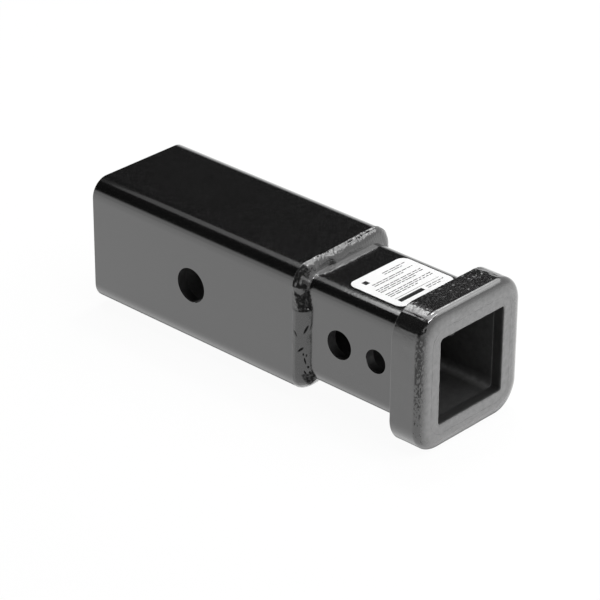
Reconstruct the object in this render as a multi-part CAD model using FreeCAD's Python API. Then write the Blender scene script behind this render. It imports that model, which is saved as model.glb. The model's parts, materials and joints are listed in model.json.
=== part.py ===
import FreeCAD, Part
import math
import os
import random

# Hitch reducer sleeve, in millimetres.
#
# A shank tube goes into a large square receiver. A smaller receiver tube is welded into its front end
# and takes a smaller square shank. A collar of bent flat bar stiffens the mouth.
#
# Frame: +X runs along the tubes from the rear end to the mouth, and +Z is up. The origin is the centre
# of the shank's pin hole, on the tubes' axis, and the pins run along Y.

# Receiver tube: the square bore that takes the smaller shank, and the wall round it. The bore's corners
# are sharper than the outside ones.
receiver_bore = 51.2
receiver_wall = 6.15
receiver_bore_corner = 2.0
receiver_corner = 9.5

# Shank tube: its wall, and the slip clearance a side round the receiver tube inside it
shank_wall = 6.2
shank_bore_corner = 4.8
slip_clearance = 0.15

# Collar: flat bar bent round the receiver tube on edge
collar_bar = 9.525
collar_corner = 17.4
collar_depth = 20.8
collar_front_rounding = 4.5
collar_rounding_limit = 0.9
collar_back_bevel = 0.9

# Lengths along X. The shank reaches back and forward from its own pin hole, the receiver tube's rear
# end lies just ahead of that hole, and the rest is measured from the shank's front end.
shank_rear_reach = 77.9
shank_front_reach = 77.0
receiver_rear_reach = 16.0
shank_front_to_receiver_pin = 28.3
receiver_pin_to_small_pin = 25.9
small_pin_to_collar = 18.55

# Cross holes for the hitch pins
shank_pin_hole = 20.6
receiver_pin_hole = 17.0
small_pin_hole = 13.9

# Weld at the mouth: from the recessed end of the receiver tube to the collar's front face
mouth_weld_depth = 6.55
mouth_edge_rounding = 1.7
mouth_edge_start_angle = 28.0
mouth_edge_wander = 0.17
mouth_edge_waves = 9
mouth_edge_seed = 5

# Fillet bead where the receiver tube leaves the shank tube. The legs are those over the middle of the
# top, the far side, the bottom and the near side, and the bead is wider round the corners.
bead_legs = (4.4, 5.8, 6.6, 7.7)
bead_corner_leg = 1.6
bead_crown = 1.5
bead_lap = 2.4
bead_proud = 0.4
bead_ripple_pitch = 3.2
bead_ripple_height = 0.22
bead_ripple_spread = 0.4
bead_ripple_bow = 1.1
bead_wander = 0.55
bead_crown_wander_share = 0.3
bead_waves = 5
bead_root_depth = 0.8
bead_seed = 11

# Sticker on top of the receiver tube
label_length = 38.6
label_width = 44.6
label_corner = 5.0
label_thickness = 0.2
label_gap_to_collar = 9.25

# Sizes that follow from the ones above
receiver_side = receiver_bore + 2 * receiver_wall
shank_bore = receiver_side + 2 * slip_clearance
shank_side = shank_bore + 2 * shank_wall
shank_corner = shank_bore_corner + shank_wall
collar_side = receiver_side + 2 * collar_bar
receiver_pin_x = shank_front_reach + shank_front_to_receiver_pin
small_pin_x = receiver_pin_x + receiver_pin_to_small_pin
collar_back_x = small_pin_x + small_pin_to_collar
collar_front_x = collar_back_x + collar_depth
receiver_front_x = collar_front_x - mouth_weld_depth

# The torch that lays the bead runs over the middle of the shank's wall, along the receiver tube's flats
torch_height = shank_wall / 2
torch_side = receiver_side + 2 * torch_height
torch_corner = receiver_corner + torch_height

# Length within which two places on a piece count as one
same_place = 0.001

# Samples along one ripple of the bead: place within the ripple, and height from 0 to 1
ripple_shape = ((0.0, 0.0), (0.28, 1.0))

# Straight steps across the bead, from its toe to its shoulder, and across the mouth's worn edge
bead_profile_steps = 5
mouth_profile_steps = 3

# Straight steps along each side and round each corner of the mouth's worn edge
mouth_side_steps = 12
mouth_corner_steps = 4


def turned(quarter, x, y, z):
    """Point given for the top quarter of a section, turned to another quarter about the tubes' axis."""
    turn = quarter * math.pi / 2
    return FreeCAD.Vector(
        x,
        y * math.cos(turn) + z * math.sin(turn),
        z * math.cos(turn) - y * math.sin(turn),
    )


def rounded_square(side, corner, x):
    """Face of a square with round corners, centred on the tubes' axis at x."""
    half = side / 2
    flat = half - corner
    bend = flat + corner * math.sin(math.pi / 4)
    edges = []
    for quarter in range(4):
        start = turned(quarter, x, -flat, half)
        corner_start = turned(quarter, x, flat, half)
        corner_middle = turned(quarter, x, bend, bend)
        corner_end = turned(quarter, x, half, flat)
        edges.append(Part.LineSegment(start, corner_start).toShape())
        edges.append(Part.Arc(corner_start, corner_middle, corner_end).toShape())
    return Part.Face(Part.Wire(edges))


def square_bar(side, corner, start, end):
    """Solid square bar with round corners, along X."""
    return rounded_square(side, corner, start).extrude(FreeCAD.Vector(end - start, 0, 0))


def square_tube(side, corner, bore, bore_corner, start, end):
    """Square tube with round corners, along X."""
    return square_bar(side, corner, start, end).cut(square_bar(bore, bore_corner, start, end))


def cross_hole(diameter, x, side):
    """Drill for a pin hole through both walls of a tube, along Y."""
    start = FreeCAD.Vector(x, -side, 0)
    return Part.makeCylinder(diameter / 2, 2 * side, start, FreeCAD.Vector(0, 1, 0))


def make_shank_tube():
    """Large square tube with one cross hole."""
    tube = square_tube(
        shank_side, shank_corner, shank_bore, shank_bore_corner, -shank_rear_reach, shank_front_reach
    )
    return tube.cut(cross_hole(shank_pin_hole, 0, shank_side))


def make_receiver_tube():
    """Small square tube inside the shank tube, with two cross holes in the part that stands out."""
    tube = square_tube(
        receiver_side,
        receiver_corner,
        receiver_bore,
        receiver_bore_corner,
        receiver_rear_reach,
        receiver_front_x,
    )
    for diameter, x in ((receiver_pin_hole, receiver_pin_x), (small_pin_hole, small_pin_x)):
        tube = tube.cut(cross_hole(diameter, x, receiver_side))
    return tube


def outer_edges(ring, x, inner_half):
    """Edges of a ring's end face at x that lie outside a square of that half width."""
    found = []
    for edge in ring.Edges:
        box = edge.BoundBox
        on_face = abs(box.XMin - x) < same_place and abs(box.XMax - x) < same_place
        reach = max(abs(box.YMin), abs(box.YMax), abs(box.ZMin), abs(box.ZMax))
        if on_face and reach > inner_half:
            found.append(edge)
    return found


def make_collar():
    """Bar bent into a square ring on the receiver tube, round in front and bevelled behind."""
    ring = square_tube(
        collar_side, collar_corner, receiver_side, receiver_corner, collar_back_x, collar_front_x
    )
    between = (collar_side + receiver_side) / 4
    front_rounding = min(collar_front_rounding, collar_rounding_limit * collar_bar)
    ring = ring.makeFillet(front_rounding, outer_edges(ring, collar_front_x, between))
    return ring.makeChamfer(collar_back_bevel, outer_edges(ring, collar_back_x, between))


def square_path(side, corner, distance):
    """Point on a rounded square and its outward direction, at a distance along its outline.

    They are given for the quarter turned to the top, with that quarter's number.
    """
    flat = side - 2 * corner
    quarter_length = flat + corner * math.pi / 2
    quarter, along = divmod(distance, quarter_length)
    if along <= flat:
        return (along - flat / 2, side / 2), (0.0, 1.0), int(quarter) % 4
    angle = (along - flat) / corner
    outward = (math.sin(angle), math.cos(angle))
    point = (flat / 2 + corner * outward[0], flat / 2 + corner * outward[1])
    return point, outward, int(quarter) % 4


def path_length(side, corner):
    """Length of a rounded square's outline."""
    return 4 * (side - 2 * corner) + 2 * math.pi * corner


def reach_to_square(point, outward, side, corner):
    """Distance from a point in the top quarter, along a direction, to a rounded square round it."""
    half = side / 2
    flat = half - corner
    if outward[1] > 0:
        reach = (half - point[1]) / outward[1]
        if point[0] + reach * outward[0] <= flat:
            return reach
    if outward[0] > 0:
        reach = (half - point[0]) / outward[0]
        if point[1] + reach * outward[1] <= flat:
            return reach
    to_centre = (flat - point[0], flat - point[1])
    along = to_centre[0] * outward[0] + to_centre[1] * outward[1]
    apart = to_centre[0] ** 2 + to_centre[1] ** 2
    return along + math.sqrt(along ** 2 - apart + corner ** 2)


def random_phases(chooser, count):
    """Random starting angles for the waves of a slow wander."""
    return [chooser.uniform(0, 2 * math.pi) for _ in range(count)]


def slow_wave(share, phases):
    """Smooth wander from about -1 to 1 round a closed path, with share from 0 to 1."""
    total = 0.0
    for count, phase in enumerate(phases, start=2):
        total += math.sin(2 * math.pi * count * share + phase) / len(phases)
    return total


def bead_point(share, x, height):
    """Point over the receiver tube, at a share from 0 to 1 of the way round the joint."""
    length = path_length(torch_side, torch_corner)
    over, outward, quarter = square_path(torch_side, torch_corner, length * share)
    rise = height - torch_height
    return turned(quarter, x, over[0] + rise * outward[0], over[1] + rise * outward[1])


def bead_leg(share):
    """Leg along the receiver tube, blended between the middles of the sides."""
    middle = (torch_side / 2 - torch_corner) / path_length(torch_side, torch_corner)
    side, part = divmod(4 * (share - middle), 1)
    blend = part * part * (3 - 2 * part)
    here = bead_legs[int(side) % 4]
    there = bead_legs[(int(side) + 1) % 4]
    return here + (there - here) * blend


def bead_section(share, ripple, wander):
    """Closed section of the fillet bead, at a share from 0 to 1 of the way round the joint.

    Its face curves from the toe through the crown to a shoulder over the shank's edge, bowed along
    the torch's path, and then dips into the shank as far as the shoulder stands proud.
    """
    length = path_length(torch_side, torch_corner)
    over, outward, _ = square_path(torch_side, torch_corner, length * share)
    shank_height = torch_height + reach_to_square(over, outward, shank_side, shank_corner)
    corner_share = 0.25 - torch_corner * math.pi / 4 / length
    at_corner = 0.5 + 0.5 * math.cos(8 * math.pi * (share - corner_share))
    leg = bead_leg(share) + bead_corner_leg * at_corner ** 2 + wander[0] + ripple
    crown = bead_crown + ripple + bead_crown_wander_share * wander[1]
    lap = bead_lap + wander[1] + ripple
    slope = math.hypot(leg, shank_height)
    toe = (leg, -bead_root_depth)
    middle = (leg / 2 + crown * shank_height / slope, shank_height / 2 + crown * leg / slope)
    shoulder = (0, shank_height + bead_proud)
    points = []
    for step in range(bead_profile_steps + 1):
        t = step / bead_profile_steps
        near_toe = (1 - t) * (1 - 2 * t)
        near_middle = 4 * t * (1 - t)
        near_shoulder = t * (2 * t - 1)
        x = near_toe * toe[0] + near_middle * middle[0] + near_shoulder * shoulder[0]
        height = near_toe * toe[1] + near_middle * middle[1] + near_shoulder * shoulder[1]
        bow = bead_ripple_bow * math.sin(math.pi * t) / length
        points.append(bead_point(share + bow, shank_front_reach + x, height))
    points.append(bead_point(share, shank_front_reach - lap, shank_height - bead_proud))
    points.append(bead_point(share, shank_front_reach - lap, -bead_root_depth))
    return Part.makePolygon(points + points[:1])


def make_shank_weld():
    """Rippled fillet bead all round, from the shank tube's front end to the receiver tube."""
    chooser = random.Random(bead_seed)
    phases = [random_phases(chooser, bead_waves) for _ in range(2)]
    ripples = round(path_length(torch_side, torch_corner) / bead_ripple_pitch)
    sections = []
    for index in range(ripples):
        size = bead_ripple_height * chooser.uniform(1 - bead_ripple_spread, 1 + bead_ripple_spread)
        for place, height in ripple_shape:
            share = (index + place) / ripples
            wander = [bead_wander * slow_wave(share, row) for row in phases]
            sections.append(bead_section(share, size * height, wander))
    bead = Part.makeLoft(sections, True, True, True)
    margin = 2 * (max(bead_legs) + bead_corner_leg + bead_lap)
    behind = shank_front_reach - margin
    ahead = shank_front_reach + margin
    shank_end = square_bar(shank_side, shank_corner, behind, shank_front_reach)
    tube = square_bar(receiver_side, receiver_corner, behind, ahead)
    return bead.cut(shank_end).cut(tube)


def mouth_places():
    """Distances along the bore's outline, closer together round its corners."""
    flat = receiver_bore - 2 * receiver_bore_corner
    bend = receiver_bore_corner * math.pi / 2
    places = []
    for quarter in range(4):
        start = quarter * (flat + bend)
        places += [start + flat * step / mouth_side_steps for step in range(mouth_side_steps)]
        places += [start + flat + bend * step / mouth_corner_steps for step in range(mouth_corner_steps)]
    return places


def mouth_outline(share, phases):
    """Outline of the mouth's worn edge, with share from 0 behind the edge to 1 at the front face.

    The edge is part of a circle that meets the bore at an angle, so it starts a little inside the bore.
    """
    angle = share * math.pi / 2
    start = math.radians(mouth_edge_start_angle)
    length = path_length(receiver_bore, receiver_bore_corner)
    radius = mouth_edge_rounding / math.cos(start)
    x = collar_front_x - radius * (1 - math.sin(angle))
    points = []
    for place in mouth_places():
        wander = 1 + mouth_edge_wander * slow_wave(place / length, phases)
        height = radius * wander * (math.cos(start) - math.cos(angle))
        point, outward, quarter = square_path(receiver_bore, receiver_bore_corner, place)
        points.append(turned(quarter, x, point[0] + height * outward[0], point[1] + height * outward[1]))
    return Part.makePolygon(points + points[:1])


def make_mouth_weld():
    """Weld metal between the collar and the end of the receiver tube, dressed flush in front."""
    ring = square_tube(
        receiver_side,
        receiver_corner,
        receiver_bore,
        receiver_bore_corner,
        receiver_front_x,
        collar_front_x,
    )
    phases = random_phases(random.Random(mouth_edge_seed), mouth_edge_waves)
    shares = [step / mouth_profile_steps for step in range(mouth_profile_steps + 1)]
    outlines = [mouth_outline(share, phases) for share in shares]
    return ring.cut(Part.makeLoft(outlines, True, True))


def make_label():
    """Thin sticker with round corners on the receiver tube's top."""
    front = collar_back_x - label_gap_to_collar
    top = receiver_side / 2
    low = FreeCAD.Vector(front - label_length, -label_width / 2, top)
    plate = Part.makeBox(label_length, label_width, label_thickness, low)
    upright = [edge for edge in plate.Edges if edge.BoundBox.ZLength > label_thickness / 2]
    return plate.makeFillet(label_corner, upright)


def main():
    """Build every piece and write it to its own file."""
    os.makedirs("parts", exist_ok=True)
    pieces = {
        "shank_tube": make_shank_tube(),
        "receiver_tube": make_receiver_tube(),
        "collar": make_collar(),
        "shank_weld": make_shank_weld(),
        "mouth_weld": make_mouth_weld(),
        "label": make_label(),
    }
    for name, shape in pieces.items():
        shape.exportStep("parts/" + name + ".step")
    return pieces


main()
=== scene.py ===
import json
import math
import random

import bpy
import numpy as np
from mathutils import Matrix, Vector, noise

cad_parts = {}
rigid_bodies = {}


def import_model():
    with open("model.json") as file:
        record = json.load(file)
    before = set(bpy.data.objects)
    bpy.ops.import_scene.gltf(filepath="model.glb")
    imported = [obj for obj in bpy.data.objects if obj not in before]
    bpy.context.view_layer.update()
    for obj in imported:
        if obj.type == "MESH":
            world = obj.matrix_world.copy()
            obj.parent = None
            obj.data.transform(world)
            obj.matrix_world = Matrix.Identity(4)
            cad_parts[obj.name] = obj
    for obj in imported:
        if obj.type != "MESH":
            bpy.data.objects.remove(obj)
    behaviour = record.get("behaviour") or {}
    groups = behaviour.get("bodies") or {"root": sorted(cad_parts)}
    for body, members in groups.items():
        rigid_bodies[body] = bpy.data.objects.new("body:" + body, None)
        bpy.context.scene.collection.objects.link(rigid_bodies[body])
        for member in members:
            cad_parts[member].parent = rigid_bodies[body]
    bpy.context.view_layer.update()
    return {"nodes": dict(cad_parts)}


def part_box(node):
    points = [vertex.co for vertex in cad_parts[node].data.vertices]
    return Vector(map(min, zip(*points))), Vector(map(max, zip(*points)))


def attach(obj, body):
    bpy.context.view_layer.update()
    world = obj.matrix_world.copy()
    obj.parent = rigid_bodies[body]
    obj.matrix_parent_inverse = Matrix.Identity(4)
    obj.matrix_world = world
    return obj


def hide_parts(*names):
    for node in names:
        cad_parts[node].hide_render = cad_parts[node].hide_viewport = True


# Looks of the hitch reducer sleeve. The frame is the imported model's, in metres. The bead, the collar,
# the mouth and the print are worked out in millimetres and scaled as they are made.
MM = 0.001

for left_over in list(bpy.data.objects):
    bpy.data.objects.remove(left_over)
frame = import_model()
nodes = frame["nodes"]


def cad_size(node):
    """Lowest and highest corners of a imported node, in millimetres."""
    low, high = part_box(node)
    return low / MM, high / MM


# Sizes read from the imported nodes
shank_low, shank_high = cad_size("shank_tube")
receiver_low, receiver_high = cad_size("receiver_tube")
collar_low, collar_high = cad_size("collar")
mouth_low, mouth_high = cad_size("mouth_weld")
label_low, label_high = cad_size("label")
shank_side = shank_high.z - shank_low.z
receiver_side = receiver_high.z - receiver_low.z
collar_side = collar_high.z - collar_low.z
shank_front_x = shank_high.x
floor_z = collar_low.z

# Sizes that the nodes' boxes don't give
shank_corner = 11.0
receiver_corner = 9.5
collar_corner = 17.4
shank_bore_corner = 4.8
bore_side = 51.2
bore_corner = 2.0
receiver_wall = (receiver_side - bore_side) / 2
collar_bar = (collar_side - receiver_side) / 2
bore_half = bore_side / 2

# Reaches of the paint's zones, from the axis: the bores' faces, and how far in a tube's holes begin
bore_zone = bore_half + 0.6
shank_bore_zone = receiver_side / 2 + 0.4
skin = 0.4


# Rounded squares, as the tubes' outlines


def square_length(side, corner):
    """Length of a rounded square's outline."""
    return 4 * (side - 2 * corner) + 2 * math.pi * corner


def quarter_path(side, corner, distance):
    """Points and outward directions along a rounded square, in the frame of each one's own quarter."""
    flat = side - 2 * corner
    quarter_length = flat + corner * math.pi / 2
    distance = np.mod(distance, 4 * quarter_length)
    quarter = np.floor(distance / quarter_length)
    along = distance - quarter * quarter_length
    angle = np.maximum(along - flat, 0) / corner
    out_y, out_z = np.sin(angle), np.cos(angle)
    y = np.minimum(along, flat) - flat / 2 + corner * out_y
    z = flat / 2 + corner * out_z
    return quarter, y, z, out_y, out_z


def turned(quarter, y, z):
    """Points of the top quarter, turned to their own quarters about the tubes' axis."""
    turn = quarter * math.pi / 2
    return y * np.cos(turn) + z * np.sin(turn), z * np.cos(turn) - y * np.sin(turn)


def reach_to_square(y, z, out_y, out_z, side, corner):
    """Distances from points in the top quarter, along their directions, to a rounded square."""
    y = np.abs(y)
    half = side / 2
    flat = half - corner
    to_y, to_z = flat - y, flat - z
    along = to_y * out_y + to_z * out_z
    arc = along + np.sqrt(np.maximum(along**2 - to_y**2 - to_z**2 + corner**2, 0))
    top = (half - z) / np.maximum(out_z, 1e-9)
    beside = (half - y) / np.maximum(out_y, 1e-9)
    on_top = (out_z > 1e-6) & (y + top * out_y <= flat)
    on_side = (out_y > 1e-6) & (z + beside * out_z <= flat)
    return np.where(on_top, top, np.where(on_side, beside, arc))


def ring_piece(name, x, y, z):
    """Closed ring from points in rows: one row for each station round the axis, one column for each
    point of the section. All are in millimetres."""
    rows, columns = x.shape
    points = np.stack([x, y, z], axis=2).reshape(-1, 3) * MM
    row = np.arange(rows)[:, None]
    column = np.arange(columns)[None, :]
    next_row = (row + 1) % rows
    next_column = (column + 1) % columns
    faces = np.stack(
        [
            row * columns + column,
            row * columns + next_column,
            next_row * columns + next_column,
            next_row * columns + column,
        ],
        axis=2,
    ).reshape(-1, 4)
    mesh = bpy.data.meshes.new(name)
    mesh.from_pydata(points.tolist(), [], faces.tolist())
    mesh.shade_smooth()
    mesh.set_sharp_from_angle(angle=math.radians(50))
    mesh.validate()
    piece = bpy.data.objects.new(name, mesh)
    bpy.context.scene.collection.objects.link(piece)
    return piece


def bumps(x, y, z, size, seed):
    """Smooth noise from about -1 to 1 at points in millimetres, with lumps about size across.

    The size is one number, or one for each axis."""
    sizes = (size, size, size) if isinstance(size, (int, float)) else size
    shift = 17.3 * seed
    flat = zip((x / sizes[0]).ravel(), (y / sizes[1]).ravel(), (z / sizes[2]).ravel())
    values = [noise.noise((a + shift, b - shift, c + 2 * shift)) for a, b, c in flat]
    return np.array(values).reshape(x.shape)


def smooth_step(value, start, end):
    """0 before start, 1 after end, and a smooth rise between them."""
    share = np.clip((value - start) / (end - start), 0, 1)
    return share * share * (3 - 2 * share)


# Fillet bead where the receiver tube leaves the shank
#
# Places round the bead are distances along the torch's path, in millimetres. The path starts at the
# near end of the top flat, at y = -22.25, and goes over the top to the far side.
torch_height = 3.1
torch_side = receiver_side + 2 * torch_height
torch_corner = receiver_corner + torch_height
torch_length = square_length(torch_side, torch_corner)
bead_stations = 1100
bead_face_steps = 40
toe_sink = 0.15
toe_slope_run = 0.16
toe_flare = 0.25
edge_run = 0.3
edge_proud = 0.02
edge_steps = 4
ripple_pitch = 1.9
ripple_rise = 0.3

# Place, leg along the receiver tube, lap over the shank, and how far the shoulder reaches from its edge
bead_shape = (
    (0.0, 3.9, 0.8, 3.0),
    (5.0, 3.5, 0.9, 2.8),
    (10.0, 3.4, 0.5, 2.6),
    (13.0, 4.6, 0.6, 2.9),
    (18.7, 4.3, 0.9, 3.0),
    (26.0, 4.0, 1.0, 3.1),
    (35.0, 3.9, 1.5, 3.2),
    (41.5, 3.7, 1.9, 3.4),
    (50.0, 3.2, 2.1, 3.4),
    (62.0, 4.0, 1.2, 3.4),
    (74.0, 4.9, 0.9, 3.6),
    (90.0, 5.9, 0.8, 3.8),
    (108.0, 5.6, 1.1, 3.8),
    (119.0, 6.9, 1.3, 4.2),
    (132.0, 5.6, 1.0, 3.8),
    (152.0, 5.9, 0.7, 3.8),
    (170.0, 6.4, 0.6, 4.0),
    (178.0, 8.0, 0.5, 4.4),
    (184.0, 9.4, 0.4, 4.6),
    (189.2, 8.3, 0.3, 4.0),
    (197.7, 7.2, 0.2, 4.0),
    (205.6, 7.7, 0.2, 4.3),
    (214.6, 7.4, 0.2, 3.8),
    (221.2, 8.7, 0.2, 4.3),
    (227.4, 8.4, 0.2, 4.6),
    (233.4, 6.4, 0.2, 3.6),
    (239.0, 5.9, 0.3, 3.4),
    (242.2, 5.6, 0.3, 3.3),
    (248.0, 5.7, 0.5, 3.4),
    (254.0, 5.2, 0.6, 3.0),
)


def bead_value(places, column):
    """One column of the bead's shape at places round the path, smoothed between its rows."""
    at = np.array([row[0] for row in bead_shape])
    values = np.array([row[column] for row in bead_shape])
    fine = np.arange(0, torch_length, 0.5)
    filled = np.interp(fine, at, values, period=torch_length)
    window = np.hanning(13)
    wrapped = np.concatenate([filled[-6:], filled, filled[:6]])
    smooth = np.convolve(wrapped, window / window.sum(), mode="valid")
    return np.interp(places, fine, smooth, period=torch_length)


# Hollows and lumps: place, distance from the toe, half length, half width, height, turn from the path's
# direction, and how dull the paint is there
bead_marks = (
    (38.9, 8.0, 0.88, 0.72, -0.75, 0.3, 1.0),
    (36.4, 7.3, 1.0, 0.52, -0.6, -0.3, 1.0),
    (34.9, 7.7, 0.56, 0.52, -0.5, 0.0, 0.95),
    (29.6, 7.9, 2.38, 0.55, -0.6, 0.12, 1.0),
    (44.2, 8.3, 1.25, 0.45, -0.5, -0.1, 0.95),
    (12.0, 8.0, 1.12, 0.52, -0.4, 0.2, 0.55),
    (4.0, 7.9, 1.0, 0.52, -0.4, 0.3, 0.65),
    (245.3, 6.0, 2.9, 1.8, 0.2, 0.2, -0.9),
    (243.0, 8.5, 1.5, 0.75, 0.35, 0.1, -0.9),
    (217.2, 2.9, 3.38, 0.78, -0.55, -0.34, 0.95),
    (214.8, 8.7, 2.5, 0.52, -0.45, 0.53, 0.65),
    (205.1, 5.7, 2.38, 0.59, -0.6, -0.94, 1.0),
    (202.0, 4.1, 1.12, 0.45, -0.4, 0.1, 0.95),
    (201.2, 2.2, 1.0, 0.52, -0.3, 0.0, 0.65),
    (198.0, 3.0, 2.5, 0.45, -0.4, 0.26, 0.9),
    (194.0, 1.3, 0.75, 0.65, -0.4, 0.0, 0.95),
    (190.8, 3.6, 1.5, 0.52, -0.4, 0.3, 0.85),
    (190.4, 1.0, 0.75, 0.65, -0.3, 0.0, 0.85),
    (219.5, 0.5, 4.0, 0.39, -0.2, -0.05, 0.55),
)


def bead_mark_parts(place, across):
    """How deep in each mark the points are, 1 at its middle, with the mark's height and dullness."""
    for at, over, length, width, height, turn, dull in bead_marks:
        apart = np.mod(place - at + torch_length / 2, torch_length) - torch_length / 2
        beside = across - over
        one = (apart * math.cos(turn) + beside * math.sin(turn)) / length
        other = (beside * math.cos(turn) - apart * math.sin(turn)) / width
        yield np.exp(-1.5 * (one**2 + other**2) ** 1.5), height, dull


def bead_profile(places, shank_height):
    """Bead's face from its toe to its edge on the shank, as x and height over the receiver tube."""
    leg, lap, reach = (bead_value(places, column)[:, None] for column in (1, 2, 3))
    lapped = smooth_step(lap, 0.25, 0.6)
    shoulder_slope = lapped * 0.42 / np.maximum(lap, 1.0)
    proud = edge_proud + shoulder_slope * lap
    reach = reach * (1 + 0.3 * lapped)
    shank_height = shank_height[:, None]
    share = np.linspace(0, 1, bead_face_steps + 1)[None, :]
    blend = ((1 - share) ** 3, 3 * share * (1 - share) ** 2, 3 * share**2 * (1 - share), share**3)
    edge_x = edge_run - lap
    edge_height = shank_height + proud
    flare = smooth_step(places, 245.5, 247.5) * (1 - smooth_step(places, 253.0, 256.0))
    toe_run = (toe_slope_run + toe_flare * flare[:, None]) * shank_height
    corners_x = (leg, leg - toe_run, edge_x + reach, edge_x)
    corners_height = (-toe_sink, 0.35 * shank_height, edge_height - shoulder_slope * reach, edge_height)
    face_x = sum(b * c for b, c in zip(blend, corners_x))
    face_height = sum(b * c for b, c in zip(blend, corners_height))
    fall = np.linspace(0, math.pi / 2, edge_steps + 1)[None, 1:]
    down_x = edge_x - edge_run * np.sin(fall)
    down_height = edge_height - (proud + 0.25) * (1 - np.cos(fall))
    x = np.concatenate([face_x, down_x], axis=1)
    height = np.concatenate([face_height, down_height], axis=1)
    return x, height


def bead_relief(place, across, total):
    """Height of ripples, lumps and hollows over the bead's face."""
    flat = 0 * place
    share = across / total
    on_top = smooth_step(np.mod(place + 10, torch_length), 6.0, 12.0)
    on_top = on_top * (1 - smooth_step(np.mod(place + 10, torch_length), 56.0, 66.0))
    patch = smooth_step(place, 227.5, 229.8) * (1 - smooth_step(place, 238.0, 239.5))
    upper = smooth_step(share, 0.42, 0.65)
    bow = 1.6 * np.sin(np.clip(share, 0, 1) * math.pi)
    drift = 1.1 * bumps(place, across, flat, (9.0, 6.0, 1.0), 3)
    saw = np.mod((place + bow + drift) / ripple_pitch, 1.0)
    ripple = np.where(saw < ripple_rise, saw / ripple_rise, (1 - saw) / (1 - ripple_rise)) - 0.5
    hidden = smooth_step(place, 58, 66) * (1 - smooth_step(place, 176, 188))
    relief = (0.035 + 0.03 * on_top + 0.14 * hidden) * ripple
    relief += (0.12 + on_top * (0.24 * upper - 0.08)) * bumps(place, across, flat, (4.6, 2.6, 1.0), 61)
    relief += (0.04 + 0.12 * on_top * upper) * bumps(place, across, flat, (2.3, 1.1, 1.0), 7)
    relief += patch * (0.4 * bumps(place, across, flat, (1.3, 1.8, 1.0), 9) - 0.35)
    for inside, height, dull in bead_mark_parts(place, across):
        relief += height * inside
    return relief


def bead_dullness(place, across, total):
    """How dull the bead's paint is: 0 is gloss, and 1 is bare slag."""
    flat = 0 * place
    share = across / total
    coarse = bumps(place, across, flat, (1.6, 1.3, 1.0), 51)
    fine = bumps(place, across, flat, (0.8, 0.7, 1.0), 53)
    wander = 0.5 * bumps(place, across, flat, (2.5, 2.0, 1.0), 55)

    def span(low, high, soft):
        at = place + wander
        return smooth_step(at, low - soft, low + soft) * (1 - smooth_step(at, high - soft, high + soft))

    near_side = span(184.0, 240.0, 2.0)
    left_side = smooth_step(0.84 - share, 0.0, 0.06)
    slag_left = np.interp(place, (228.0, 234.0, 239.0), (0.64, 0.8, 0.88)) + 0.05 * coarse
    slag_top = 237.8 + 5.5 * np.abs(share - 0.5) + wander
    slag = smooth_step(place + 0.4 * wander, 227.7, 228.3) * smooth_step(slag_left - share, 0.0, 0.06)
    slag = slag * (1 - smooth_step(place, slag_top - 0.4, slag_top + 0.4))
    toe_line = span(228.4, 240.2, 0.4) * (1 - smooth_step(across, 0.8, 1.3))
    ring = span(241.3, 244.0, 0.4) * smooth_step(share, 0.12, 0.2)
    corner = smooth_step(share + 0.25 * fine, 0.42, 0.56) * (1 - smooth_step(share, 0.9, 0.95))
    corner = corner * span(243.0, 251.6, 0.7)
    foot = span(180.5, 190.0, 0.7) * (1 - smooth_step(across + coarse, 5.0, 6.5))
    dull = 0.16 * near_side * left_side
    for area, least, spread in (
        (slag, 0.78, 0.9),
        (toe_line, 0.95, 0.2),
        (ring, 0.97, 0.3),
        (corner, 0.85, 1.1),
        (foot, 0.85, 0.8),
    ):
        dull = np.maximum(dull, area * np.clip(least + spread * (0.6 * coarse + 0.4 * fine), 0, 1))
    for inside, height, more in bead_mark_parts(place, across):
        dull += more * smooth_step(inside, 0.15, 0.85)
    return np.clip(dull, 0, 1)


def bead_grid():
    """Bead's face before its relief: places, the path's points and directions, x, height and across."""
    places = np.arange(bead_stations) * torch_length / bead_stations
    path = quarter_path(torch_side, torch_corner, places)
    reach = reach_to_square(*path[1:], shank_side, shank_corner)
    shank_height = torch_height + reach
    x, height = bead_profile(places, shank_height)
    step_x, step_height = np.gradient(x, axis=1), np.gradient(height, axis=1)
    step = np.hypot(step_x, step_height)
    across = np.cumsum(step, axis=1) - step[:, :1]
    return places, path, shank_height, x, height, across, step_height / step, -step_x / step


def make_bead():
    """Fillet bead with its ripples, lumps and hollows, which keeps how dull its paint is."""
    places, path, shank_height, x, height, across, normal_x, normal_height = bead_grid()
    quarter, over_y, over_z, out_y, out_z = path
    total = across[:, -1:]
    place = np.repeat(places[:, None], x.shape[1], axis=1)
    relief = bead_relief(place, across, total)
    dull = bead_dullness(place, across, total)
    ends = smooth_step(across, 0.2, 1.6) * (1 - smooth_step(across, total - 0.8, total - 0.2))
    x = x + ends * relief * normal_x
    height = height + ends * relief * normal_height
    leg, lap = bead_value(places, 1), bead_value(places, 2)
    level = np.full_like(lap, -0.9)
    inner_x = np.stack([-lap - 0.1, np.full_like(lap, -0.3), leg - 1.2], axis=1)
    inner_height = np.stack([shank_height - 1.4, level, level], axis=1)
    x = np.concatenate([x, inner_x], axis=1)
    height = np.concatenate([height, inner_height], axis=1) - torch_height
    y = over_y[:, None] + height * out_y[:, None]
    z = over_z[:, None] + height * out_z[:, None]
    y, z = turned(quarter[:, None], y, z)
    bead = ring_piece("weld_bead", x + shank_front_x, y, z)
    inner_dull = np.zeros_like(inner_x)
    dulled = bead.data.attributes.new("dulled", "FLOAT", "POINT")
    dull = np.concatenate([dull, inner_dull], axis=1)
    dulled.data.foreach_set("value", dull.ravel().astype(np.float32))
    return bead


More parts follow.
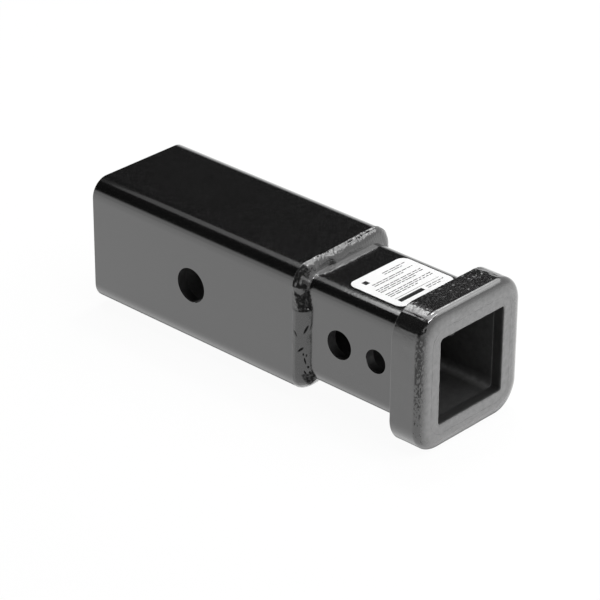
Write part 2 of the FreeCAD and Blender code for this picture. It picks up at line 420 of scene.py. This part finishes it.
# Collar and mouth
#
# Both rings are swept round the bore's outline. Their sections are given as x and as distance out from
# the bore, and are stretched at the corners to reach the receiver tube's and the collar's own outlines.
collar_outer = receiver_wall + collar_bar
bar_step = 0.45
mouth_rounding = 0.4
front_rounding = 4.9
front_slope = 7.6
back_bevel = 0.4


def section_line(start, end, step):
    """Points from start up to, but without, end, about step apart."""
    count = max(1, round(math.dist(start, end) / step))
    return [
        (start[0] + (end[0] - start[0]) * i / count, start[1] + (end[1] - start[1]) * i / count)
        for i in range(count)
    ]


def section_arc(centre, x_radius, out_radius, start, end, step):
    """Points along an oval arc up to, but without, its end. Angles go in degrees from +X to outward."""
    count = max(2, round(max(x_radius, out_radius) * math.radians(abs(end - start)) / step))
    angles = [math.radians(start + (end - start) * i / count) for i in range(count)]
    return [(centre[0] + x_radius * math.cos(a), centre[1] + out_radius * math.sin(a)) for a in angles]


def ring_stations():
    """Distances along the bore's outline, close enough in the corners for the bar's outer face."""
    flat = bore_side - 2 * bore_corner
    bend = bore_corner * math.pi / 2
    flat_steps = round(flat / bar_step)
    bend_steps = round((bore_corner + collar_outer) * math.pi / 2 / bar_step)
    places = []
    for quarter in range(4):
        start = quarter * (flat + bend)
        places += [start + flat * i / flat_steps for i in range(flat_steps)]
        places += [start + flat + bend * i / bend_steps for i in range(bend_steps)]
    return np.array(places)


def swept_ring(name, section, relief):
    """Ring with one section all round, moved along its normals by relief(x, out, y, z)."""
    quarter, *bore = quarter_path(bore_side, bore_corner, ring_stations())
    bore_y, bore_z, out_y, out_z = (column[:, None] for column in bore)
    wall = reach_to_square(*bore, receiver_side, receiver_corner)[:, None]
    edge = reach_to_square(*bore, collar_side, collar_corner)[:, None]

    def placed(out):
        stretched = np.where(
            out < receiver_wall,
            out * wall / receiver_wall,
            wall + (out - receiver_wall) * (edge - wall) / collar_bar,
        )
        return turned(quarter[:, None], bore_y + stretched * out_y, bore_z + stretched * out_z)

    section = np.array(section)
    ahead = np.roll(section, -1, axis=0) - section
    behind = section - np.roll(section, 1, axis=0)
    tangent = ahead / np.linalg.norm(ahead, axis=1)[:, None]
    tangent = tangent + behind / np.linalg.norm(behind, axis=1)[:, None]
    tangent = tangent / np.linalg.norm(tangent, axis=1)[:, None]
    x = np.repeat(section[None, :, 0], len(quarter), axis=0)
    out = np.repeat(section[None, :, 1], len(quarter), axis=0)
    height = relief(x, out, *placed(out))
    x = np.minimum(x + height * tangent[None, :, 1], collar_high.x)
    y, z = placed(np.minimum(out - height * tangent[None, :, 0], collar_outer))
    return ring_piece(name, x, y, z)


def face_relief(x, y, z):
    """Slow waves of a dressed and painted face, the same on the collar and on the mouth's weld."""
    return 0.05 * bumps(x, y, z, (9.0, 7.0, 7.0), 21) + 0.012 * bumps(x, y, z, 1.8, 23) - 0.05


def collar_relief(x, out, y, z):
    """Rolled and bent bar: rough on top, drawn marks round the near bend, and a nick in front."""
    back_part = 1 - smooth_step(x, 164.4, 166.0)
    top = smooth_step(z, 39.6, 41.1) * back_part
    bend_start = smooth_step(y, -27.0, -16.0)
    rough_top = top * (0.3 + 0.45 * bend_start + 0.35 * smooth_step(y, 4.0, 30.0))
    bend = smooth_step(-y + z, 59.0, 64.0) * back_part
    outside = smooth_step(out, collar_outer - 1.5, collar_outer - 0.3)
    nick = np.exp(-((x - 168.0) ** 2 + (y + 36.5) ** 2 + (z - 35.5) ** 2) / 10.0)
    relief = face_relief(x, y, z)
    relief += outside * rough_top * (0.11 * bumps(x, y, z, (2.6, 2.0, 3.0), 31) - 0.06)
    relief += outside * rough_top * (0.12 * bumps(x, y, z, (1.0, 0.8, 3.0), 33) - 0.06)
    relief += outside * bend * (0.07 * bumps(x, y, z, (8.0, 1.4, 1.4), 35) - 0.05)
    relief += outside * bend * 0.03 * bumps(x, y, z, (3.0, 1.1, 1.1), 37)
    relief += nick * (0.35 * bumps(x, y, z, 1.3, 39) - 0.12)
    joined = smooth_step(out, receiver_wall, receiver_wall + 1.0)
    shown = np.where(x > collar_high.x - 0.2, 1.0, joined)
    return relief * shown


def make_collar():
    """Bar round the mouth, on the receiver tube's end."""
    back, front = collar_low.x, collar_high.x
    section = section_line((back, receiver_wall), (front, receiver_wall), 5.0)
    section += section_line((front, receiver_wall), (front, collar_outer - front_slope), bar_step)
    centre = (front - front_rounding, collar_outer - front_slope)
    section += section_arc(centre, front_rounding, front_slope, 0, 90, bar_step)
    section += section_line((centre[0], collar_outer), (back + back_bevel, collar_outer), bar_step)
    bevel_centre = (back + back_bevel, collar_outer - back_bevel)
    section += section_arc(bevel_centre, back_bevel, back_bevel, 90, 180, bar_step / 2)
    section += section_line((back, collar_outer - back_bevel), (back, receiver_wall), 2 * bar_step)
    return swept_ring("collar_ring", section, collar_relief)


def mouth_relief(x, out, y, z):
    """Dressed weld: flush with the collar outside, wavy along the edge of the opening."""
    edge = smooth_step(x, mouth_high.x - 2.6, mouth_high.x - 0.6) * (1 - smooth_step(out, 1.2, 3.0))
    relief = face_relief(x, y, z)
    relief += 0.14 * edge * bumps(x, y, z, (30.0, 4.0, 4.0), 45)
    relief += 0.09 * edge * bumps(x, y, z, (30.0, 1.6, 1.6), 47)
    past_tube = smooth_step(x, mouth_low.x + 0.2, mouth_low.x + 1.2)
    shown = np.where(out > receiver_wall - 0.01, 0.0, past_tube)
    on_face = x > mouth_high.x - 0.01
    return np.where(on_face, relief, relief * shown)


def make_mouth():
    """Weld metal between the collar and the end of the receiver tube."""
    back, front = mouth_low.x, mouth_high.x
    section = section_line((back, 0.0), (front - mouth_rounding, 0.0), 0.6)
    centre = (front - mouth_rounding, mouth_rounding)
    section += section_arc(centre, mouth_rounding, mouth_rounding, -90, 0, bar_step / 2)
    section += section_line((front, mouth_rounding), (front, receiver_wall), bar_step)
    section += section_line((front, receiver_wall), (back, receiver_wall), 5.0)
    section += section_line((back, receiver_wall), (back, 0.0), 5.0)
    return swept_ring("mouth_ring", section, mouth_relief)


# Print on the sticker
#
# Rows of thin plain strokes and two solid fields. Places are in millimetres from the sticker's near
# rear corner: first along X, then along Y.
print_thickness = 0.02
stroke = 0.6
box_faces = ((3, 2, 1, 0), (4, 5, 6, 7), (0, 1, 5, 4), (1, 2, 6, 5), (2, 3, 7, 6), (3, 0, 4, 7))


def print_bars():
    """Rectangles of the print: lowest and highest corner of each."""
    chooser = random.Random(23)
    bars = [(31.0, 5.0, 34.0, 24.0), (4.6, 6.0, 8.0, 9.4), (29.3, 5.0, 29.6, 40.0)]
    rows = ((4.9, 22.0, 40.0), (6.6, 22.0, 36.0), (10.4, 8.0, 40.0), (12.1, 8.0, 31.0))
    rows += ((15.6, 5.0, 41.0), (17.3, 5.0, 41.0), (19.0, 5.0, 34.0), (22.4, 5.0, 41.0))
    rows += ((24.1, 5.0, 41.0), (25.8, 5.0, 27.0), (31.5, 27.0, 41.0), (33.2, 27.0, 37.0))
    for x, start, end in rows:
        y = start
        while y < end:
            length = chooser.uniform(1.4, 5.2)
            bars.append((x, y, x + stroke, min(y + length, end)))
            y += length + chooser.uniform(0.5, 0.9)
    return bars


def make_print():
    """Thin printed bars, sunk a little into the sticker's face."""
    points, faces = [], []
    top = label_high.z + print_thickness / 2
    bottom = label_high.z - print_thickness / 2
    for x_start, y_start, x_end, y_end in print_bars():
        first = len(points)
        for z in (bottom, top):
            for x, y in ((x_start, y_start), (x_end, y_start), (x_end, y_end), (x_start, y_end)):
                points.append(((label_low.x + x) * MM, (label_low.y + y) * MM, z * MM))
        for face in box_faces:
            faces.append([first + corner for corner in face])
    mesh = bpy.data.meshes.new("label_print")
    mesh.from_pydata(points, [], faces)
    piece = bpy.data.objects.new("label_print", mesh)
    bpy.context.scene.collection.objects.link(piece)
    return piece


# Materials


class Nodes:
    """Short way to add and join a material's nodes."""

    def __init__(self, tree):
        self.tree = tree
        self.tree.nodes.clear()
        self.place = tree.nodes.new("ShaderNodeTexCoord").outputs["Object"]

    def add(self, kind, inputs=None, **settings):
        """Node of that kind. Its inputs are values, or other nodes' outputs."""
        node = self.tree.nodes.new(kind)
        for name, value in settings.items():
            setattr(node, name, value)
        for name, value in (inputs or {}).items():
            if isinstance(value, bpy.types.NodeSocket):
                self.tree.links.new(value, node.inputs[name])
            else:
                node.inputs[name].default_value = value
        return node

    def noise(self, size_mm, detail=2.0, roughness=0.5, stretch=(1, 1, 1)):
        """Noise with lumps about that many millimetres across."""
        place = self.place
        if stretch != (1, 1, 1):
            place = self.add("ShaderNodeMapping", {"Vector": place, "Scale": stretch}).outputs[0]
        node = self.add(
            "ShaderNodeTexNoise",
            {"Vector": place, "Scale": 1 / (size_mm * MM), "Detail": detail, "Roughness": roughness},
        )
        return node.outputs["Fac"]

    def between(self, value, low, high, start=0.3, end=0.7, course="LINEAR"):
        """Value from start to end, spread over low to high."""
        node = self.add(
            "ShaderNodeMapRange",
            {"Value": value, "From Min": start, "From Max": end, "To Min": low, "To Max": high},
            interpolation_type=course,
        )
        return node.outputs["Result"]

    def bump(self, height, distance_mm, before=None, strength=1.0):
        """Bump of that height, over another one's normal."""
        inputs = {"Height": height, "Distance": distance_mm * MM, "Strength": strength}
        if before is not None:
            inputs["Normal"] = before
        return self.add("ShaderNodeBump", inputs).outputs["Normal"]

    def maths(self, operation, one, other):
        """Sum, product or the like of two values."""
        return self.add("ShaderNodeMath", {0: one, 1: other}, operation=operation).outputs[0]

    def axis(self, name):
        """Place along an axis, in metres."""
        return self.add("ShaderNodeSeparateXYZ", {"Vector": self.place}).outputs[name]

    def inside_square(self, half_mm, corner_mm):
        """1 inside a rounded square round the tubes' axis, and 0 outside it."""
        flat = (half_mm - corner_mm) * MM
        parts = []
        for name in ("Y", "Z"):
            away = self.add("ShaderNodeMath", {0: self.axis(name)}, operation="ABSOLUTE").outputs[0]
            past = self.maths("MAXIMUM", self.maths("SUBTRACT", away, flat), 0.0)
            parts.append(self.maths("MULTIPLY", past, past))
        out = self.maths("POWER", self.maths("ADD", *parts), 0.5)
        return self.between(out, 1.0, 0.0, (corner_mm - 0.15) * MM, (corner_mm + 0.15) * MM)

    def beyond(self, name, place_mm, soft_mm=0.3):
        """0 below a place along an axis, and 1 above it."""
        start, end = (place_mm - soft_mm) * MM, (place_mm + soft_mm) * MM
        return self.between(self.axis(name), 0.0, 1.0, start, end)

    def below(self, name, place_mm, soft_mm=0.3):
        """1 below a place along an axis, and 0 above it."""
        start, end = (place_mm - soft_mm) * MM, (place_mm + soft_mm) * MM
        return self.between(self.axis(name), 1.0, 0.0, start, end)

    def edge_on(self):
        """0 where the surface faces the eye, and 1 towards its outline."""
        facing = self.add("ShaderNodeLayerWeight").outputs["Facing"]
        return self.between(facing, 0.0, 1.0, 0.55, 0.85)

    def all_of(self, *masks):
        """Product of masks."""
        product = masks[0]
        for mask in masks[1:]:
            product = self.maths("MULTIPLY", product, mask)
        return product

    def grey(self, value):
        """Colour with that value in each channel."""
        channels = {"Red": value, "Green": value, "Blue": value}
        return self.add("ShaderNodeCombineColor", channels).outputs[0]

    def show(self, kind, inputs, output="ShaderNodeOutputMaterial"):
        """Shader of that kind, joined to the output."""
        shader = self.add(kind, inputs)
        self.add(output, {"Surface": shader.outputs[0]})


def new_material(name):
    """Material of that name, and its nodes."""
    material = bpy.data.materials.new(name)
    material.use_nodes = True
    return material, Nodes(material.node_tree)


def paint(name, shade, roughness, peel, peel_height, grain_height, coat_roughness, zones):
    """Gloss black paint: a dark base with a clear surface over it, and orange peel in both.

    Peel is the width of its lumps. It and the heights are in millimetres. Each zone has a function that
    makes its mask, the shade that it adds, and how much of the gloss it takes."""
    material, kit = new_material(name)
    tone = kit.between(kit.noise(26.0, detail=3.0), 0.8 * shade, 1.25 * shade)
    gloss = 1.0
    for mask_of, extra, dulling in zones:
        mask = mask_of(kit)
        if extra:
            grains = kit.between(kit.noise(3.0, detail=4.0), 0.8 * extra, 1.2 * extra)
            tone = kit.maths("ADD", tone, kit.maths("MULTIPLY", mask, grains))
        if dulling:
            gloss = kit.maths("MULTIPLY", gloss, kit.between(mask, 1.0, 1.0 - dulling, 0.0, 0.9))
    rough = kit.between(kit.noise(0.9, detail=3.0), roughness - 0.06, roughness + 0.08)
    peeled = kit.bump(kit.noise(peel, detail=1.0), peel_height)
    grained = kit.bump(kit.noise(peel / 4, detail=2.0), grain_height, peeled)
    inputs = {
        "Base Color": kit.grey(tone),
        "Roughness": kit.maths("ADD", rough, kit.between(gloss, 0.45, 0.0, 0.0, 1.0)),
        "IOR": 1.8,
        "Specular IOR Level": kit.between(gloss, 0.05, 0.5, 0.0, 1.0),
        "Coat Weight": gloss,
        "Coat Roughness": coat_roughness,
        "Normal": grained,
        "Coat Normal": grained,
    }
    kit.show("ShaderNodeBsdfPrincipled", inputs)
    return material


def inner_zone(half_mm, corner_mm, shade, dulling=0.0):
    """Zone of a paint inside a rounded square round the tubes' axis. Its added shade paints the insides
    paler: painted light in the shade inside the tubes, bores and holes.
    """
    return lambda kit: kit.inside_square(half_mm, corner_mm), shade, dulling


def underside(bottom_mm):
    """Zone of a paint low on a piece, whose gloss fades where it is seen edge on."""
    return lambda kit: kit.all_of(kit.below("Z", bottom_mm + 7.0, 3.0), kit.edge_on()), 0.0, 0.85


def bore_corner_painted_highlight(kit):
    """Painted highlight: the bore's far lower corner painted paler, where it catches light."""
    inside = kit.inside_square(bore_zone, bore_corner)
    far = kit.beyond("Y", bore_half - 4.1, 2.5)
    return kit.all_of(inside, far, kit.below("Z", 3.1 - bore_half, 2.5))


def tube_end_painted_highlight(kit):
    """Painted highlight: a pale line in the bore along the receiver tube's edge, where it meets the
    weld of the mouth.
    """
    inside = kit.inside_square(bore_zone, bore_corner)
    last = kit.beyond("X", receiver_high.x - 0.5, 0.2)
    return kit.all_of(inside, kit.beyond("Y", bore_half - 1.1, 0.5), last)


def front_face_painted_light(kit):
    """Front face of the collar and of the mouth's weld painted paler: painted light on the face that
    looks to the front.
    """
    return kit.beyond("X", collar_high.x - 0.8, 0.8)


def scuffed_edge(kit):
    """Pitted band down the collar's near front edge, thick at the top and thin at the bottom."""
    ahead, behind = kit.beyond("X", 166.4, 0.5), kit.below("X", 169.9, 0.5)
    near = kit.below("Y", -35.5, 1.0)
    heights = kit.between(kit.axis("Z"), -0.13, 0.07, -24 * MM, 16 * MM)
    upper = kit.below("Z", 31.0, 2.0)
    grains = kit.noise(0.9, detail=2.0, stretch=(1, 1, 0.55))
    pits = kit.between(kit.maths("ADD", grains, heights), 0.0, 1.0, 0.46, 0.58)
    return kit.all_of(ahead, behind, near, upper, pits)


def dulled_bead(kit):
    """The bead's own dullness."""
    return kit.add("ShaderNodeAttribute", attribute_name="dulled").outputs["Fac"]


def sticker_material():
    """White vinyl with a faint grain."""
    material, kit = new_material("sticker_vinyl")
    tone = kit.between(kit.noise(6.0, detail=3.0), 0.72, 0.76)
    inputs = {
        "Base Color": kit.grey(tone),
        "Roughness": kit.between(kit.noise(1.2), 0.38, 0.5),
        "Normal": kit.bump(kit.noise(3.5, detail=2.0), 0.01),
    }
    kit.show("ShaderNodeBsdfPrincipled", inputs)
    return material


def ink_material():
    """Grey and black ink, lighter where the print is thin."""
    material, kit = new_material("sticker_ink")
    tone = kit.between(kit.noise(1.6, detail=2.0), 0.004, 0.02, 0.42, 0.66)
    inputs = {
        "Base Color": kit.grey(tone),
        "Roughness": kit.between(kit.noise(1.0), 0.4, 0.55),
        "Specular IOR Level": 0.1,
    }
    kit.show("ShaderNodeBsdfPrincipled", inputs)
    return material


def floor_material():
    """White floor that keeps the object's shadow, and is nearly full white where it is seen."""
    material, kit = new_material("floor_white")
    glow_share = 0.95
    tone = kit.between(kit.noise(400.0), 0.89, 0.91)
    card = kit.add("ShaderNodeBsdfDiffuse", {"Color": kit.grey(tone)}).outputs[0]
    glow = kit.add("ShaderNodeEmission", {"Strength": 1.0}).outputs[0]
    path = kit.add("ShaderNodeLightPath")
    seen = path.outputs["Is Camera Ray"]
    for ray in ("Is Glossy Ray", "Is Transmission Ray"):
        seen = kit.maths("MAXIMUM", seen, path.outputs[ray])
    share = kit.maths("MULTIPLY", seen, glow_share)
    kit.show("ShaderNodeMixShader", {0: share, 1: card, 2: glow})
    return material


def dress(piece, material):
    """Give a piece that material alone."""
    piece.data.materials.clear()
    piece.data.materials.append(material)


# Stage


def make_floor():
    """Wide plain floor that the collar stands on."""
    half, z = 12.0, floor_z * MM
    mesh = bpy.data.meshes.new("floor")
    corners = [(-half, -half, z), (half, -half, z), (half, half, z), (-half, half, z)]
    mesh.from_pydata(corners, [], [(0, 1, 2, 3)])
    floor = bpy.data.objects.new("floor", mesh)
    bpy.context.scene.collection.objects.link(floor)
    dress(floor, floor_material())


def make_softbox(name, centre, width, depth, radiance):
    """Rectangular lamp that faces down. Its width is along X and its depth along Y, in metres."""
    lamp = bpy.data.lights.new(name, "AREA")
    lamp.shape = "RECTANGLE"
    lamp.size = width
    lamp.size_y = depth
    lamp.energy = radiance * math.pi * width * depth
    holder = bpy.data.objects.new(name, lamp)
    holder.location = centre
    bpy.context.scene.collection.objects.link(holder)


def make_world():
    """Studio surroundings: white walls, higher behind the mouth, under a dark ceiling."""
    world = bpy.data.worlds.new("studio")
    bpy.context.scene.world = world
    world.use_nodes = True
    kit = Nodes(world.node_tree)
    direction = kit.tree.nodes["Texture Coordinate"].outputs["Generated"]
    height = kit.add("ShaderNodeSeparateXYZ", {"Vector": direction}).outputs["Z"]
    past_mouth = (0.68, 0.73, 0.0)
    towards = kit.add("ShaderNodeVectorMath", {0: direction, 1: past_mouth}, operation="DOT_PRODUCT")
    wall_top = kit.between(towards.outputs["Value"], 0.23, 0.7, 0.1, 0.7, "SMOOTHSTEP")
    above = kit.maths("SUBTRACT", height, wall_top)
    light = kit.between(above, 1.0, 0.02, -0.05, 0.12, "SMOOTHSTEP")
    kit.show("ShaderNodeBackground", {"Strength": light}, "ShaderNodeOutputWorld")


def make_camera():
    """Camera at the photograph's angle and distance. Its angles are in radians."""
    azimuth, elevation, roll = 0.748836, 0.492190, 0.006368
    target = Vector((0.047055, 0.0, -0.006522))
    distance = 1.578835
    forward = Vector(
        (
            -math.sin(azimuth) * math.cos(elevation),
            math.cos(azimuth) * math.cos(elevation),
            -math.sin(elevation),
        )
    )
    level = forward.cross(Vector((0, 0, 1))).normalized()
    upward = level.cross(forward)
    right = math.cos(roll) * level + math.sin(roll) * upward
    up = math.cos(roll) * upward - math.sin(roll) * level
    camera = bpy.data.objects.new("camera", bpy.data.cameras.new("camera"))
    camera.data.sensor_width = 36.0
    camera.data.lens = 171.24
    camera.data.clip_start = 0.05
    camera.data.clip_end = 60.0
    turn = Matrix((right, up, -forward)).transposed().to_4x4()
    camera.matrix_world = Matrix.Translation(target - forward * distance) @ turn
    bpy.context.scene.collection.objects.link(camera)
    bpy.context.scene.camera = camera


# The dressed part
shank_paint = paint(
    "shank_paint_gloss",
    shade=0.003,
    roughness=0.16,
    peel=3.2,
    peel_height=0.004,
    grain_height=0.001,
    coat_roughness=0.04,
    zones=(
        # Insides and hole walls duller, and painted paler as painted light in their shade.
        inner_zone(shank_side / 2 - skin, shank_corner - skin, 0.03, 0.9),
        inner_zone(shank_bore_zone, shank_bore_corner, 0.02),
        underside(shank_low.z),
    ),
)
receiver_paint = paint(
    "receiver_paint_gloss",
    shade=0.003,
    roughness=0.16,
    peel=1.9,
    peel_height=0.02,
    grain_height=0.003,
    coat_roughness=0.05,
    zones=(
        # Insides and hole walls duller, and painted paler as painted light in their shade.
        inner_zone(receiver_side / 2 - skin, receiver_corner - skin, 0.03, 0.9),
        inner_zone(bore_zone, bore_corner, 0.007),
        # The bore's far lower corner painted paler: a painted highlight.
        (bore_corner_painted_highlight, 0.09, 0.0),
        # Pale line along the tube's end in the bore: a painted highlight.
        (tube_end_painted_highlight, 0.08, 0.0),
        underside(receiver_low.z),
    ),
)
collar_paint = paint(
    "collar_paint_gloss",
    shade=0.007,
    roughness=0.18,
    peel=2.0,
    peel_height=0.02,
    grain_height=0.004,
    coat_roughness=0.06,
    zones=(
        # Inside of the mouth duller, and painted paler as painted light in its shade.
        inner_zone(bore_zone, bore_corner, 0.016, 0.5),
        underside(collar_low.z),
        # Front face painted paler: painted light, the same paint as the rest of the collar.
        (front_face_painted_light, 0.105, 0.0),
        (scuffed_edge, 0.0, 0.65),
    ),
)
weld_paint = paint(
    "weld_paint_gloss",
    shade=0.008,
    roughness=0.18,
    peel=1.6,
    peel_height=0.02,
    grain_height=0.004,
    coat_roughness=0.06,
    zones=((dulled_bead, 0.0, 1.0),),
)

for node, material in (
    ("shank_tube", shank_paint),
    ("receiver_tube", receiver_paint),
    ("label", sticker_material()),
):
    dress(nodes[node], material)

for piece, node, slot, material in (
    (make_bead(), "shank_weld", "weld_paint", weld_paint),
    (make_collar(), "collar", "collar_paint", collar_paint),
    (make_mouth(), "mouth_weld", "collar_paint", collar_paint),
):
    dress(piece, material)
    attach(piece, "root")
    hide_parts(node)

label_print = make_print()
dress(label_print, ink_material())
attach(label_print, "root")

make_floor()
make_world()
make_softbox("overhead", (0.12, 0.5, 1.0), width=1.44, depth=1.4, radiance=2.3)
make_softbox("bright_strip", (-0.5, 0.28, 0.99), width=0.08, depth=0.45, radiance=3.0)
make_softbox("overhead_rim", (1.14, 1.0, 1.0), width=0.6, depth=0.9, radiance=1.5)
make_softbox("back_strip", (-0.22, 0.87, 0.99), width=0.46, depth=0.12, radiance=3.0)
make_softbox("near_strip", (0.93, -0.06, 0.95), width=0.14, depth=0.34, radiance=19.0)
make_softbox("middle_strip", (0.74, 0.36, 0.95), width=0.16, depth=0.5, radiance=6.0)
make_softbox("hot_middle", (-0.1, 0.3, 0.98), width=0.14, depth=0.14, radiance=40.0)
make_softbox("dim_side", (-0.76, 0.12, 1.0), width=0.3, depth=0.5, radiance=0.4)
make_camera()

bpy.context.scene.view_settings.view_transform = "Standard"
